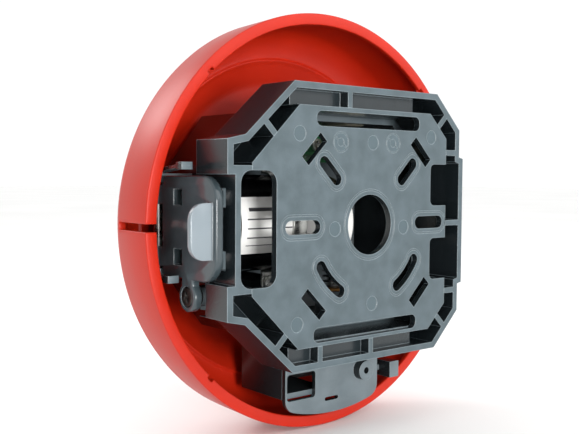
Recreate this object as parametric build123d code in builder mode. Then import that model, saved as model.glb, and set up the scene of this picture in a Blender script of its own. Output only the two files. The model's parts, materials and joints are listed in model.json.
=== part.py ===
from build123d import *
import os
from math import asin, cos, degrees, radians, sin, sqrt

# A motor-driven fire alarm bell with its works under the gong.  A moulded box fixes to the wall, and
# the bell unit swings open from it on a hinge, once a spring latch on the other side is let go.
#
# The frame: the origin is the middle of the cable hole, on the face that lies on the wall.  +Z is up,
# -Y is forwards into the room, and +X is the latch side.  A depth is a distance forwards of the wall.

os.makedirs("parts", exist_ok=True)

# ---- driving dimensions, in millimetres ----------------------------------------------------------

gong_radius = 75.0
gong_wall = 2.4
gong_lip_width = 4.0
gong_lip_thickness = 2.0
rim_ahead_of_box = 5.6
gong_slot_width = 2.6
gong_slot_length = 18.4
lip_notch_width = 2.6
lip_notch_depth = 1.3

box_depth = 17.0
box_wall = 2.2
box_half_height = 47.0
latch_side = 60.0
hinge_side = 46.9
plate_thickness = 2.5
skirt = 1.6
plate_half_height = 39.6
cable_hole_radius = 10.4
fixing_centre = 30.15
fixing_length = 14.8
fixing_width = 4.5
tie_slot_width = 4.2
tie_slot_ring = 26.0
tie_slot_length = 12.0

motor_radius = 17.0
motor_start = -7.4
motor_end = 44.0
shaft_radius = 1.6
cam_radius = 6.0
cam_throw = 2.2
striker_x = -12.0
striker_rod_radius = 2.0
striker_travel = 4.0

hinge_x = -53.5
hinge_pin_radius = 1.5
hinge_barrel_radius = 3.0
latch_pivot_x = 61.15
latch_pin_radius = 1.5
latch_thickness = 2.7
latch_half_height = 16.5
lock_screw_radius = 1.5
chassis_wall = 2.0
chassis_half_height = 38.0
chassis_end = 50.0
thread_radius = 3.0
screw_radius = 1.2
screw_boss_radius = 3.0

# ---- clearances ----------------------------------------------------------------------------------

running_fit = 0.05
body_gap = 0.6
cam_gap = 0.15
tip_gap = 0.8
hook_gap = 0.15

# ---- places that follow from the sizes above -----------------------------------------------------

hinge_depth = box_depth - 2
flange_depth = box_depth + body_gap
flange_thickness = 2.2
motor_depth = box_depth - 1.5 + motor_radius
chassis_inside_depth = motor_depth + motor_radius + 0.5
chassis_front_depth = chassis_inside_depth + chassis_wall
gong_face_depth = chassis_front_depth + 3.5
rim_depth = box_depth + rim_ahead_of_box
shoulder_depth = rim_depth + 18.7
latch_pivot_depth = box_depth + 21.5
gong_bore_radius = gong_radius - gong_wall
latch_inner_x = latch_pivot_x - latch_thickness / 2
latch_outer_x = latch_pivot_x + latch_thickness / 2
recess_x = latch_inner_x - 2.8
recess_half_height = latch_half_height + 0.5
tip_radius = striker_rod_radius * 2
striker_reach = sqrt((gong_bore_radius - 0.3) ** 2 - striker_x**2)
tip_end = -(striker_reach - tip_gap - striker_travel)
follower_top = -(cam_radius + cam_throw + cam_gap)
follower_thickness = 2.5
follower_radius = 4.0
board_depth = chassis_inside_depth - 6
board_thickness = 1.6
board_bottom = motor_radius + 5
board_top = chassis_half_height - 2
board_middle = (board_bottom + board_top) / 2
lock_depth = box_depth + 1.8
lock_z = -22.0


def front_plane(depth):
    """A sketch plane that faces the room: across it is X, up it is Z."""
    return Plane.XZ.offset(depth)


def side_plane(x):
    """A sketch plane that faces the latch side: across it is Y, up it is Z."""
    return Plane.YZ.offset(x)


def mirrored(upper):
    """An outline from its upper half, which runs from the latch side to the hinge side."""
    return upper + [(x, -z) for x, z in reversed(upper)]


def box_outline():
    return mirrored(
        [
            (recess_x, recess_half_height),
            (latch_side, recess_half_height),
            (latch_side, recess_half_height + 10.8),
            (latch_side - 6.8, recess_half_height + 12.3),
            (latch_side - 26, box_half_height),
            (-hinge_side + 12.9, box_half_height),
            (-hinge_side, box_half_height - 12.9),
            (-hinge_side, 24),
            (-hinge_side - 2.2, 23.5),
        ]
    )


def plate_outline():
    edge = latch_side - 9.3
    corner = plate_half_height - 18.9
    return mirrored(
        [
            (edge, corner),
            (latch_side - 28.2, plate_half_height),
            (-hinge_side + 16.4, plate_half_height),
            (-hinge_side + 7.5, plate_half_height - 8.9),
        ]
    )


def tray_outline(inset):
    """The works chamber of the chassis, drawn in from its outside by inset."""
    cut = inset * 0.45
    return mirrored(
        [
            (chassis_end - inset, 20 - cut),
            (chassis_end - 14 - cut, chassis_half_height - inset),
            (-30 + cut, chassis_half_height - inset),
            (-42 + inset, 22 - cut),
        ]
    )


# ---- the wall box --------------------------------------------------------------------------------

channel_depth = box_depth - 2
strip_depth = 4.0
window_half_height = 18.3
window_start = latch_side - 18.9
window_end = recess_x - 2
window_middle = (window_start + window_end) / 2
slot_top_half = 24.6
mark_depth = 0.25
lower_slot_centre = CenterArc((0, 0), tie_slot_ring, -58, 27)
lower_slot_twin = CenterArc((0, 0), tie_slot_ring, -149, 27)
upper_marks = [(31.7, 30.3), (-1.2, 28.2), (-31.1, 31)]
lower_marks = [(32.4, -31.5), (-1.4, -27.5)]
ejector_marks = upper_marks + [(16.2, -1), (-16.8, -1.4)] + lower_marks
ejector_radius = 2.5
dial_radius = 3.5
wheel_marks = [(13.9, 28), (-11, 28.3)]
corner_ribs = [(43.9, 31.9, 45), (40, -37.3, -45), (-37.6, 37.6, -45), (-37.6, -37.6, 45)]
side_ribs = [(-43, 25.6), (-43, -0.6), (-43, -26.1)]
strip_ribs = [(9.85, 42), (22.4, -42), (-1.1, -42)]
rib_thickness = 2.0
strip_length = 58.0
strip_middle = 4.0
strip_width = box_half_height - box_wall - plate_half_height
strip_z = plate_half_height + strip_width / 2
cable_slot_width = 5.0
border = 1.3
groove = 0.6
outer_ring = 2 * (border + groove)
lock_notch_start = latch_side - 9.1
lock_notch_length = latch_side + 1 - lock_notch_start
lock_notch_middle = lock_notch_start + lock_notch_length / 2
lock_notch_depth = 2.8
lock_notch_height = 11.2
lock_notch_z = lock_z - 0.4
hook_window = (4.6, 5.9)
pocket_z = 13.6
pocket_height = 15.2
skirt_middle = -hinge_side + 7.5 + skirt / 2
knuckle_middle = 17.0
knuckle_length = 10.0

# the plate and the walls round it are one moulding, drawn whole here and parted into two nodes below
with BuildPart() as moulding:
    with BuildSketch(front_plane(0)):
        with BuildLine():
            Polyline(*box_outline(), close=True)
        make_face()
    extrude(amount=box_depth)
    # the works side is open, down to the plate
    with BuildSketch(front_plane(plate_thickness)):
        with BuildLine():
            Polyline(*plate_outline(), close=True)
        make_face()
        offset(amount=-skirt, kind=Kind.INTERSECTION)
    extrude(amount=box_depth - plate_thickness, mode=Mode.SUBTRACT)
    # deep channels round the plate on the wall side, bridged by ribs
    with BuildSketch(front_plane(0)):
        with BuildLine():
            Polyline(*box_outline(), close=True)
        make_face()
        offset(amount=-box_wall, kind=Kind.INTERSECTION)
        with BuildLine():
            Polyline(*plate_outline(), close=True)
        make_face(mode=Mode.SUBTRACT)
        for x, z, turn in corner_ribs:
            with Locations((x, z)):
                Rectangle(16, rib_thickness, rotation=turn, mode=Mode.SUBTRACT)
        with Locations(*side_ribs):
            Rectangle(9, rib_thickness, mode=Mode.SUBTRACT)
        with Locations((strip_middle, box_half_height), (strip_middle, -box_half_height)):
            Rectangle(strip_length, 15, mode=Mode.SUBTRACT)
        with Locations((window_middle, 0)):
            Rectangle(26, 2 * window_half_height + 3, mode=Mode.SUBTRACT)
    extrude(amount=channel_depth, mode=Mode.SUBTRACT)
    # shallow strips along the top and the bottom
    with BuildSketch(front_plane(0)):
        with Locations((strip_middle, strip_z), (strip_middle, -strip_z)):
            Rectangle(strip_length, strip_width)
        with Locations(*strip_ribs):
            Rectangle(rib_thickness, strip_width + 2, mode=Mode.SUBTRACT)
    extrude(amount=strip_depth, mode=Mode.SUBTRACT)
    # openings through the plate
    with BuildSketch(front_plane(0)):
        Circle(cable_hole_radius)
        with Locations((fixing_centre, 0), (-fixing_centre, 0)):
            SlotOverall(fixing_length, fixing_width)
        with PolarLocations(tie_slot_ring, 2, start_angle=45, angular_range=180):
            SlotOverall(tie_slot_length, tie_slot_width)
        SlotArc(lower_slot_centre, tie_slot_width)
        SlotArc(lower_slot_twin, tie_slot_width)
        with PolarLocations(36, 4, start_angle=45):
            Rectangle(4.1, 11.3)
        with Locations((0, 35.5), (0.8, -35.9)):
            RectangleRounded(2 * slot_top_half, cable_slot_width, 2.2)
        with Locations((-35.2, pocket_z), (-35.2, -pocket_z)):
            RectangleRounded(8.6, pocket_height, 2)
    extrude(amount=plate_thickness, mode=Mode.SUBTRACT)
    # the pockets are open sideways, into the channel
    with BuildSketch(front_plane(0)):
        with Locations((skirt_middle, pocket_z), (skirt_middle, -pocket_z)):
            Rectangle(2 * skirt, pocket_height)
    extrude(amount=channel_depth, mode=Mode.SUBTRACT)
    with BuildSketch(front_plane(0)):
        with Locations((window_middle, 0)):
            RectangleRounded(window_end - window_start, 2 * window_half_height, 4)
    extrude(amount=box_depth, mode=Mode.SUBTRACT)
    # a shallow groove round each fixing slot leaves it a border
    with BuildSketch(front_plane(0)):
        with Locations((fixing_centre, 0), (-fixing_centre, 0)):
            SlotOverall(fixing_length + outer_ring, fixing_width + outer_ring)
            SlotOverall(fixing_length + 2 * border, fixing_width + 2 * border, mode=Mode.SUBTRACT)
        with PolarLocations(tie_slot_ring, 2, start_angle=45, angular_range=180):
            SlotOverall(tie_slot_length + outer_ring, tie_slot_width + outer_ring)
            SlotOverall(tie_slot_length + 2 * border, tie_slot_width + 2 * border, mode=Mode.SUBTRACT)
        for arc in (lower_slot_centre, lower_slot_twin):
            SlotArc(arc, tie_slot_width + outer_ring)
            SlotArc(arc, tie_slot_width + 2 * border, mode=Mode.SUBTRACT)
        Circle(cable_hole_radius + border + groove)
        Circle(cable_hole_radius + border, mode=Mode.SUBTRACT)
    extrude(amount=mark_depth, mode=Mode.SUBTRACT)
    # moulding marks: ejector discs and two blank dial rings
    with BuildSketch(front_plane(0)):
        with Locations(*ejector_marks):
            Circle(ejector_radius)
        with Locations(*wheel_marks):
            Circle(dial_radius)
            Circle(dial_radius - 0.4, mode=Mode.SUBTRACT)
            Circle(dial_radius * 0.4)
            Rectangle(1.6 * dial_radius, 0.5, rotation=35)
    extrude(amount=mark_depth, mode=Mode.SUBTRACT)
    # windows in the latch wall that the hooks drop into
    with Locations((recess_x - 1, -7.5, 9.75), (recess_x - 1, -7.5, -9.75)):
        Box(4, *hook_window, mode=Mode.SUBTRACT)
    # a notch in the mouth for the lock screw's boss
    with Locations((lock_notch_middle, -box_depth + lock_notch_depth / 2, lock_notch_z)):
        Box(lock_notch_length, lock_notch_depth, lock_notch_height, mode=Mode.SUBTRACT)
    with Locations((latch_side - 1, -box_depth + lock_notch_depth, lock_notch_z)):
        Box(4, 2 * lock_notch_depth - 0.8, lock_notch_height, mode=Mode.SUBTRACT)
    # hinge knuckles
    for side in (1, -1):
        with Locations(((hinge_x - hinge_side - 2) / 2, -hinge_depth + 0.5, side * knuckle_middle)):
            Box(abs(hinge_x + hinge_side + 2), 5, knuckle_length)
        with Locations((hinge_x, -hinge_depth, side * knuckle_middle)):
            Cylinder(hinge_barrel_radius, knuckle_length)
    with Locations((hinge_x, -hinge_depth, 0)):
        Cylinder(hinge_pin_radius, 2 * box_half_height, mode=Mode.SUBTRACT)

with BuildPart() as back_plate:
    add(moulding.part)
    with BuildSketch(front_plane(0)):
        with BuildLine():
            Polyline(*plate_outline(), close=True)
        make_face()
    extrude(amount=box_depth, mode=Mode.INTERSECT)
back_plate.part.label = "back_plate"
export_step(back_plate.part, "parts/back_plate.step")

with BuildPart() as back_box:
    add(moulding.part)
    with BuildSketch(front_plane(0)):
        with BuildLine():
            Polyline(*plate_outline(), close=True)
        make_face()
    extrude(amount=box_depth, mode=Mode.SUBTRACT)
back_box.part.label = "back_box"
export_step(back_box.part, "parts/back_box.step")

hinge_pin_half = knuckle_middle + knuckle_length / 2 + 0.8

with BuildPart() as hinge_pin:
    with Locations((hinge_x, -hinge_depth, 0)):
        Cylinder(hinge_pin_radius, 2 * hinge_pin_half)
    with Locations((hinge_x, -hinge_depth, hinge_pin_half + 0.6)):
        Cylinder(hinge_pin_radius + 0.8, 1.2)
    chamfer(hinge_pin.faces().sort_by(Axis.Z)[0].edges(), 0.4)
hinge_pin.part.label = "hinge_pin"
export_step(hinge_pin.part, "parts/hinge_pin.step")

# ---- the chassis, which carries the works and the gong -------------------------------------------

chassis_knuckle_half = knuckle_middle - knuckle_length / 2 - 0.5
saddle_places = (3, 35)
strap_x = 19.0
strap_screw_z = motor_radius + 5.2
strap_boss_depth = motor_depth + 0.8
board_screw_places = ((-13, board_middle), (25, board_middle))
bush_outer_radius = striker_rod_radius + 2
guide_top = -(chassis_half_height - 11)
chin_bottom = -(gong_radius - 13)
chin_half_width = 22.5
chin_front_depth = board_depth
guard_screw_x = 17.8
guard_screw_z = -50.0
guard_top = -(box_half_height - 1.6)
guard_back_depth = flange_depth + 0.4
guard_thickness = 2.0
foot_start = striker_x + tip_radius + 10
foot_depth = chin_front_depth - guard_back_depth - guard_thickness
foot_middle_depth = chin_front_depth - foot_depth / 2
post_base_radius = 8.0
pivot_cheek_start = 14.2
pivot_cheek_end = 17.2
cheek_radius = 3.4
cheek_length = 6.0
web_thickness = 3.6
lug_x = -31.85
wing_start_x = latch_outer_x + 1.3
wing_width = 4.0
wing_block = 2.4

with BuildPart() as chassis:
    with BuildSketch(front_plane(flange_depth)):
        with BuildLine():
            Polyline(*box_outline(), close=True)
        make_face()
        offset(amount=-2, kind=Kind.INTERSECTION)
    extrude(amount=flange_thickness)
    with BuildSketch(front_plane(flange_depth)):
        with BuildLine():
            Polyline(*tray_outline(0), close=True)
        make_face()
    extrude(amount=chassis_front_depth - flange_depth)
    chamfer(chassis.faces().sort_by(Axis.Y)[0].edges(), 1.5)
    with BuildSketch(front_plane(flange_depth)):
        with BuildLine():
            Polyline(*tray_outline(chassis_wall), close=True)
        make_face()
    extrude(amount=chassis_inside_depth - flange_depth, mode=Mode.SUBTRACT)
    # saddles that cradle the motor
    for x in saddle_places:
        with BuildSketch(side_plane(x - 1)):
            with Locations((-(motor_depth + chassis_inside_depth) / 2, 0)):
                Rectangle(chassis_inside_depth - motor_depth, 2 * motor_radius + 6)
            with Locations((-motor_depth, 0)):
                Circle(motor_radius + running_fit, mode=Mode.SUBTRACT)
        extrude(amount=2)
    # bosses for the strap screws and the board screws
    with BuildSketch(front_plane(strap_boss_depth)):
        with Locations((strap_x, strap_screw_z), (strap_x, -strap_screw_z)):
            Circle(screw_boss_radius)
            Circle(screw_radius, mode=Mode.SUBTRACT)
    extrude(amount=chassis_inside_depth - strap_boss_depth)
    with BuildSketch(front_plane(board_depth + board_thickness)):
        with Locations(*board_screw_places):
            Circle(screw_boss_radius)
            Circle(screw_radius, mode=Mode.SUBTRACT)
    extrude(amount=chassis_inside_depth - board_depth - board_thickness)
    # a seat for the gong post
    with BuildSketch(front_plane(chassis_front_depth - 1)):
        Circle(post_base_radius + running_fit)
    extrude(amount=1, mode=Mode.SUBTRACT)
    # the chin that houses the striker, open at its foot
    with BuildSketch(front_plane(guard_back_depth + guard_thickness)):
        with Locations((0, (chin_bottom - chassis_half_height) / 2)):
            Rectangle(2 * chin_half_width, -chin_bottom - chassis_half_height)
    extrude(amount=chin_front_depth - guard_back_depth - guard_thickness)
    with BuildSketch(front_plane(flange_depth + flange_thickness)):
        with Locations((0, (chin_bottom - chassis_half_height) / 2 - 1)):
            Rectangle(2 * (chin_half_width - chassis_wall), -chin_bottom - chassis_half_height + 2)
    extrude(amount=chin_front_depth - flange_depth - flange_thickness - chassis_wall, mode=Mode.SUBTRACT)
    # beside the striker the foot is closed
    with Locations(((foot_start + chin_half_width) / 2, -foot_middle_depth, chin_bottom + chassis_wall / 2)):
        Box(chin_half_width - foot_start, foot_depth, chassis_wall)
    with BuildSketch(front_plane(chin_front_depth - chassis_wall)):
        with Locations((guard_screw_x, guard_screw_z), (-guard_screw_x, guard_screw_z)):
            Circle(screw_radius + 0.4)
    extrude(amount=chassis_wall, mode=Mode.SUBTRACT)
    # the guide for the striker bush, through the floor of the tray
    with BuildSketch(Plane.XY.offset(-chassis_half_height)):
        with Locations((striker_x, -motor_depth)):
            Circle(bush_outer_radius + 2.5)
    extrude(amount=chassis_half_height + guide_top)
    with BuildSketch(Plane.XY.offset(-chassis_half_height)):
        with Locations((striker_x, -motor_depth)):
            Circle(bush_outer_radius)
    extrude(amount=chassis_half_height + guide_top, mode=Mode.SUBTRACT)
    # the hinge knuckle and its arm over the edge of the box
    with Locations((hinge_x, -hinge_depth, 0)):
        Cylinder(hinge_barrel_radius, 2 * chassis_knuckle_half)
    with Locations((hinge_x, -(hinge_depth + flange_depth + flange_thickness) / 2, 0)):
        Box(4, flange_depth + flange_thickness - hinge_depth, 2 * chassis_knuckle_half)
    with Locations(((hinge_x - hinge_side + 4) / 2, -flange_depth - flange_thickness / 2, 0)):
        Box(abs(hinge_x + hinge_side - 4), flange_thickness, 2 * chassis_knuckle_half)
    with Locations((hinge_x, -hinge_depth, 0)):
        Cylinder(hinge_pin_radius + running_fit, 2 * box_half_height, mode=Mode.SUBTRACT)
    # cheeks that hold the latch pin, the web behind them and the guide wings
    for side in (1, -1):
        with BuildSketch(Plane.XY.offset(min(side * pivot_cheek_start, side * pivot_cheek_end))):
            with BuildLine():
                Polyline(
                    (chassis_end - 1, -latch_pivot_depth + cheek_radius),
                    (latch_pivot_x, -latch_pivot_depth + cheek_radius),
                    (latch_pivot_x, -latch_pivot_depth - cheek_length),
                    (chassis_end - 1, -latch_pivot_depth - cheek_length),
                    close=True,
                )
            make_face()
            with Locations((latch_pivot_x, -latch_pivot_depth)):
                Circle(cheek_radius)
                Circle(latch_pin_radius, mode=Mode.SUBTRACT)
        extrude(amount=pivot_cheek_end - pivot_cheek_start)
        # a thin guide wing with a block at its end, shorter on the lower side
        wing_end = -box_depth - 2 + 4 * side
        wing_z = side * 18 + 1.6
        with BuildSketch(side_plane(wing_start_x)):
            with BuildLine():
                Polyline(
                    (-latch_pivot_depth - 2, side * (pivot_cheek_end - 1.2)),
                    (-latch_pivot_depth - 2, side * pivot_cheek_end),
                    (wing_end, wing_z + side * wing_block / 4),
                    (wing_end, wing_z - side * wing_block / 4),
                    close=True,
                )
            make_face()
            with Locations((wing_end, wing_z)):
                Rectangle(wing_block + 1, wing_block)
        extrude(amount=wing_width)
    with Locations(((chassis_end + recess_x) / 2, -latch_pivot_depth - cheek_length + web_thickness / 2, 0)):
        Box(recess_x + 1 - chassis_end, web_thickness, 2 * pivot_cheek_end)
    # the boss that the lock screw enters
    with BuildSketch(side_plane(chassis_end + 1.2)):
        with Locations((-lock_depth, lock_z)):
            Circle(3.4)
            Circle(lock_screw_radius + body_gap, mode=Mode.SUBTRACT)
    extrude(amount=7.2)
    with Locations((chassis_end + 4.6, -lock_depth, lock_z)):
        Cylinder(lock_screw_radius + body_gap, 8, rotation=(0, 90, 0), mode=Mode.SUBTRACT)
    # the lug beside the chin
    with Locations((lug_x, -guard_back_depth - 4.5, -58.1)):
        Box(4.9, 9, 6.2)
    with Locations(((lug_x - chin_half_width) / 2, -guard_back_depth - 7.5, -58.1)):
        Box(-lug_x - chin_half_width + 4, 3, 2)
chassis.part.label = "chassis"
export_step(chassis.part, "parts/chassis.step")

# ---- the striker guard ---------------------------------------------------------------------------

guard_radius = gong_radius - 5.7
guard_window_width = 13.0
guard_window_height = 9.4
guard_window_z = -57.7
guard_side_bottom = -sqrt(guard_radius**2 - chin_half_width**2)

with BuildPart() as striker_guard:
    with BuildSketch(front_plane(guard_back_depth)) as guard_face:
        with BuildLine():
            Polyline(
                (chin_half_width, guard_side_bottom),
                (chin_half_width, guard_top),
                (-chin_half_width, guard_top),
                (-chin_half_width, guard_side_bottom),
            )
            ThreePointArc(
                (-chin_half_width, guard_side_bottom),
                (0, -guard_radius),
                (chin_half_width, guard_side_bottom),
            )
        make_face()
        fillet(guard_face.vertices().group_by(Axis.Y)[0], radius=5)
        with Locations((chin_half_width - 0.8 - guard_window_width / 2, guard_window_z)):
            RectangleRounded(guard_window_width, guard_window_height, 1.2, mode=Mode.SUBTRACT)
        with Locations((0.8, -64.2)):
            SlotOverall(6.5, 1.3, mode=Mode.SUBTRACT)
    extrude(amount=guard_thickness)
    # posts that reach the front of the chin, for the screws
    with BuildSketch(front_plane(guard_back_depth + guard_thickness)):
        with Locations((guard_screw_x, guard_screw_z), (-guard_screw_x, guard_screw_z)):
            Circle(screw_boss_radius - 0.5)
            Circle(screw_radius, mode=Mode.SUBTRACT)
    extrude(amount=chin_front_depth - chassis_wall - guard_back_depth - guard_thickness)
    # a hollow boss that stands back towards the wall
    with BuildSketch(front_plane(guard_back_depth - 3.3)):
        with Locations((-13.6, -55.5)):
            Circle(3.65)
            Circle(1.2, mode=Mode.SUBTRACT)
    extrude(amount=3.3)
striker_guard.part.label = "striker_guard"
export_step(striker_guard.part, "parts/striker_guard.step")


def pan_screws(depth, places, head, length, head_height, facing):
    """Cross-head screws whose heads stand on a face at that depth; facing is 1 for forwards."""
    with BuildPart() as screws:
        with BuildSketch(front_plane(depth)):
            with Locations(*places):
                Circle(screw_radius)
        extrude(amount=-facing * length)
        with BuildSketch(front_plane(depth)):
            with Locations(*places):
                Circle(head)
        extrude(amount=facing * head_height)
        with BuildSketch(front_plane(depth + facing * head_height * 0.4)):
            with Locations(*places):
                Rectangle(head * 1.1, head * 0.25)
                Rectangle(head * 0.25, head * 1.1)
        extrude(amount=facing * head_height, mode=Mode.SUBTRACT)
    return screws


guard_screw_places = [(guard_screw_x, guard_screw_z), (-guard_screw_x, guard_screw_z)]
guard_screws = pan_screws(chin_front_depth, guard_screw_places, 2.6, 10, 1.6, 1)
guard_screws.part.label = "guard_screws"
export_step(guard_screws.part, "parts/guard_screws.step")

# ---- the motor -----------------------------------------------------------------------------------

can_wall = 1.2
can_edge = 0.8
cap_radius = motor_radius - can_wall
cap_thickness = 4.0
bearing_radius = 3.6
label_thickness = 0.2
label_half_height = 9.4
magnet_thickness = 4.5
armature_radius = cap_radius - magnet_thickness - 1.1
terminal_places = [(-motor_depth + 5, 7), (-motor_depth + 5, -7)]
terminal_width = 3.4

with BuildPart() as motor_can:
    with BuildSketch(side_plane(motor_start)):
        with Locations((-motor_depth, 0)):
            Circle(motor_radius)
    extrude(amount=motor_end - motor_start)
    fillet(motor_can.faces().sort_by(Axis.X)[0].edges(), can_edge)
    with BuildSketch(side_plane(motor_start + can_wall)):
        with Locations((-motor_depth, 0)):
            Circle(cap_radius)
    extrude(amount=motor_end - motor_start, mode=Mode.SUBTRACT)
    with BuildSketch(side_plane(motor_start)):
        with Locations((-motor_depth, 0)):
            Circle(bearing_radius)
    extrude(amount=can_wall, mode=Mode.SUBTRACT)
motor_can.part.label = "motor_can"
export_step(motor_can.part, "parts/motor_can.step")

with BuildPart() as motor_end_cap:
    with BuildSketch(side_plane(motor_end - cap_thickness)):
        with Locations((-motor_depth, 0)):
            Circle(cap_radius)
            Circle(bearing_radius, mode=Mode.SUBTRACT)
        with Locations(*terminal_places):
            Rectangle(1, terminal_width, mode=Mode.SUBTRACT)
    extrude(amount=cap_thickness)
motor_end_cap.part.label = "motor_end_cap"
export_step(motor_end_cap.part, "parts/motor_end_cap.step")

with BuildPart() as motor_bearings:
    with BuildSketch(side_plane(motor_start)):
        with Locations((-motor_depth, 0)):
            Circle(bearing_radius)
            Circle(shaft_radius + running_fit, mode=Mode.SUBTRACT)
    extrude(amount=can_wall + 1.8)
    with BuildSketch(side_plane(motor_end - cap_thickness)):
        with Locations((-motor_depth, 0)):
            Circle(bearing_radius)
            Circle(shaft_radius + running_fit, mode=Mode.SUBTRACT)
    extrude(amount=cap_thickness)
motor_bearings.part.label = "motor_bearings"
export_step(motor_bearings.part, "parts/motor_bearings.step")

with BuildPart() as motor_magnets:
    with BuildSketch(side_plane(motor_start + 8)):
        with Locations((-motor_depth, 0)):
            Circle(cap_radius)
            Circle(cap_radius - magnet_thickness, mode=Mode.SUBTRACT)
            Rectangle(2 * cap_radius, 12, mode=Mode.SUBTRACT)
    extrude(amount=28)
motor_magnets.part.label = "motor_magnets"
export_step(motor_magnets.part, "parts/motor_magnets.step")

with BuildPart() as motor_terminals:
    with BuildSketch(side_plane(motor_end - cap_thickness)):
        with Locations(*terminal_places):
            Rectangle(1, terminal_width)
    extrude(amount=cap_thickness + 2.6)
motor_terminals.part.label = "motor_terminals"
export_step(motor_terminals.part, "parts/motor_terminals.step")

label_angle = degrees(asin(label_half_height / motor_radius))

with BuildPart() as rating_label:
    with BuildSketch(side_plane(motor_start + can_edge)):
        with BuildLine():
            CenterArc((-motor_depth, 0), motor_radius, -label_angle, 2 * label_angle)
            CenterArc((-motor_depth, 0), motor_radius + label_thickness, -label_angle, 2 * label_angle)
            for side in (1, -1):
                Line(
                    (-motor_depth + motor_radius * cos(radians(label_angle)),
                     side * motor_radius * sin(radians(label_angle))),
                    (-motor_depth + (motor_radius + label_thickness) * cos(radians(label_angle)),
                     side * (motor_radius + label_thickness) * sin(radians(label_angle))),
                )
        make_face()
    extrude(amount=motor_end - motor_start - can_edge - 0.6)
rating_label.part.label = "rating_label"
export_step(rating_label.part, "parts/rating_label.step")

strap_inner = motor_radius + label_thickness + running_fit
strap_thickness = 0.8
strap_width = 6.0
strap_foot_end = strap_screw_z + 3

with BuildPart() as motor_strap:
    with BuildSketch(side_plane(strap_x - strap_width / 2)):
        with Locations((-motor_depth, 0)):
            Circle(strap_inner + strap_thickness)
        with Locations((-strap_boss_depth + strap_thickness / 2, 0)):
            Rectangle(strap_thickness, 2 * strap_foot_end)
        with Locations((-strap_boss_depth - motor_radius, 0)):
            Rectangle(2 * motor_radius, 4 * motor_radius, mode=Mode.SUBTRACT)
        with Locations((-motor_depth, 0)):
            Circle(strap_inner, mode=Mode.SUBTRACT)
    extrude(amount=strap_width)
    with BuildSketch(front_plane(strap_boss_depth - strap_thickness)):
        with Locations((strap_x, strap_screw_z), (strap_x, -strap_screw_z)):
            Circle(screw_radius + 0.1)
    extrude(amount=strap_thickness, mode=Mode.SUBTRACT)
motor_strap.part.label = "motor_strap"
export_step(motor_strap.part, "parts/motor_strap.step")

strap_screw_places = [(strap_x, strap_screw_z), (strap_x, -strap_screw_z)]
strap_screws = pan_screws(strap_boss_depth - strap_thickness, strap_screw_places, 2.5, 9, 1.5, -1)
strap_screws.part.label = "strap_screws"
export_step(strap_screws.part, "parts/strap_screws.step")

# ---- what turns: shaft, armature and cam ---------------------------------------------------------

cam_start = striker_x - 2.5
cam_width = 5.0
hub_end = motor_start - 0.8

with BuildPart() as motor_shaft:
    with BuildSketch(side_plane(cam_start - 1)):
        with Locations((-motor_depth, 0)):
            Circle(shaft_radius)
    extrude(amount=motor_end - 0.5 - cam_start + 1)
motor_shaft.part.label = "motor_shaft"
export_step(motor_shaft.part, "parts/motor_shaft.step")

with BuildPart() as motor_armature:
    with BuildSketch(side_plane(motor_start + 9)):
        with Locations((-motor_depth, 0)):
            Circle(armature_radius)
            Circle(shaft_radius, mode=Mode.SUBTRACT)
        with Locations((-motor_depth, 0)):
            with PolarLocations(armature_radius - 1.5, 5):
                Rectangle(4, 1.2, mode=Mode.SUBTRACT)
    extrude(amount=26)
motor_armature.part.label = "motor_armature"
export_step(motor_armature.part, "parts/motor_armature.step")

with BuildPart() as striker_cam:
    with BuildSketch(side_plane(cam_start)):
        with Locations((-motor_depth, -cam_throw)):
            Circle(cam_radius)
    extrude(amount=cam_width)
    with BuildSketch(side_plane(cam_start)):
        with Locations((-motor_depth, 0)):
            Circle(3.4)
    extrude(amount=hub_end - cam_start)
    with BuildSketch(side_plane(cam_start)):
        with Locations((-motor_depth, 0)):
            Circle(shaft_radius)
    extrude(amount=hub_end - cam_start, mode=Mode.SUBTRACT)
    with BuildSketch(Plane.XY.offset(shaft_radius)):
        with Locations((hub_end - 1.35, -motor_depth)):
            Circle(0.8)
    extrude(amount=3, mode=Mode.SUBTRACT)
striker_cam.part.label = "striker_cam"
export_step(striker_cam.part, "parts/striker_cam.step")

with BuildPart() as cam_grub_screw:
    with BuildSketch(Plane.XY.offset(shaft_radius + 0.05)):
        with Locations((hub_end - 1.35, -motor_depth)):
            Circle(0.78)
    extrude(amount=1.6)
cam_grub_screw.part.label = "cam_grub_screw"
export_step(cam_grub_screw.part, "parts/cam_grub_screw.step")

# ---- the striker ---------------------------------------------------------------------------------

follower_bottom = follower_top - follower_thickness
bush_flange = 1.0
bush_top = guide_top + bush_flange
tip_start = tip_end + 8.5

with BuildPart() as striker_bush:
    with BuildSketch(Plane.XY.offset(-chassis_half_height - 1)):
        with Locations((striker_x, -motor_depth)):
            Circle(bush_outer_radius)
            Circle(striker_rod_radius + running_fit, mode=Mode.SUBTRACT)
    extrude(amount=chassis_half_height + 1 + guide_top)
    with BuildSketch(Plane.XY.offset(guide_top)):
        with Locations((striker_x, -motor_depth)):
            Circle(bush_outer_radius + 1.5)
            Circle(striker_rod_radius + running_fit, mode=Mode.SUBTRACT)
    extrude(amount=bush_flange)
striker_bush.part.label = "striker_bush"
export_step(striker_bush.part, "parts/striker_bush.step")

with BuildPart() as striker_rod:
    with BuildSketch(Plane.XY.offset(tip_start - 5)):
        with Locations((striker_x, -motor_depth)):
            Circle(striker_rod_radius)
    extrude(amount=follower_bottom + 1.2 - tip_start + 5)
striker_rod.part.label = "striker_rod"
export_step(striker_rod.part, "parts/striker_rod.step")

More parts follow.
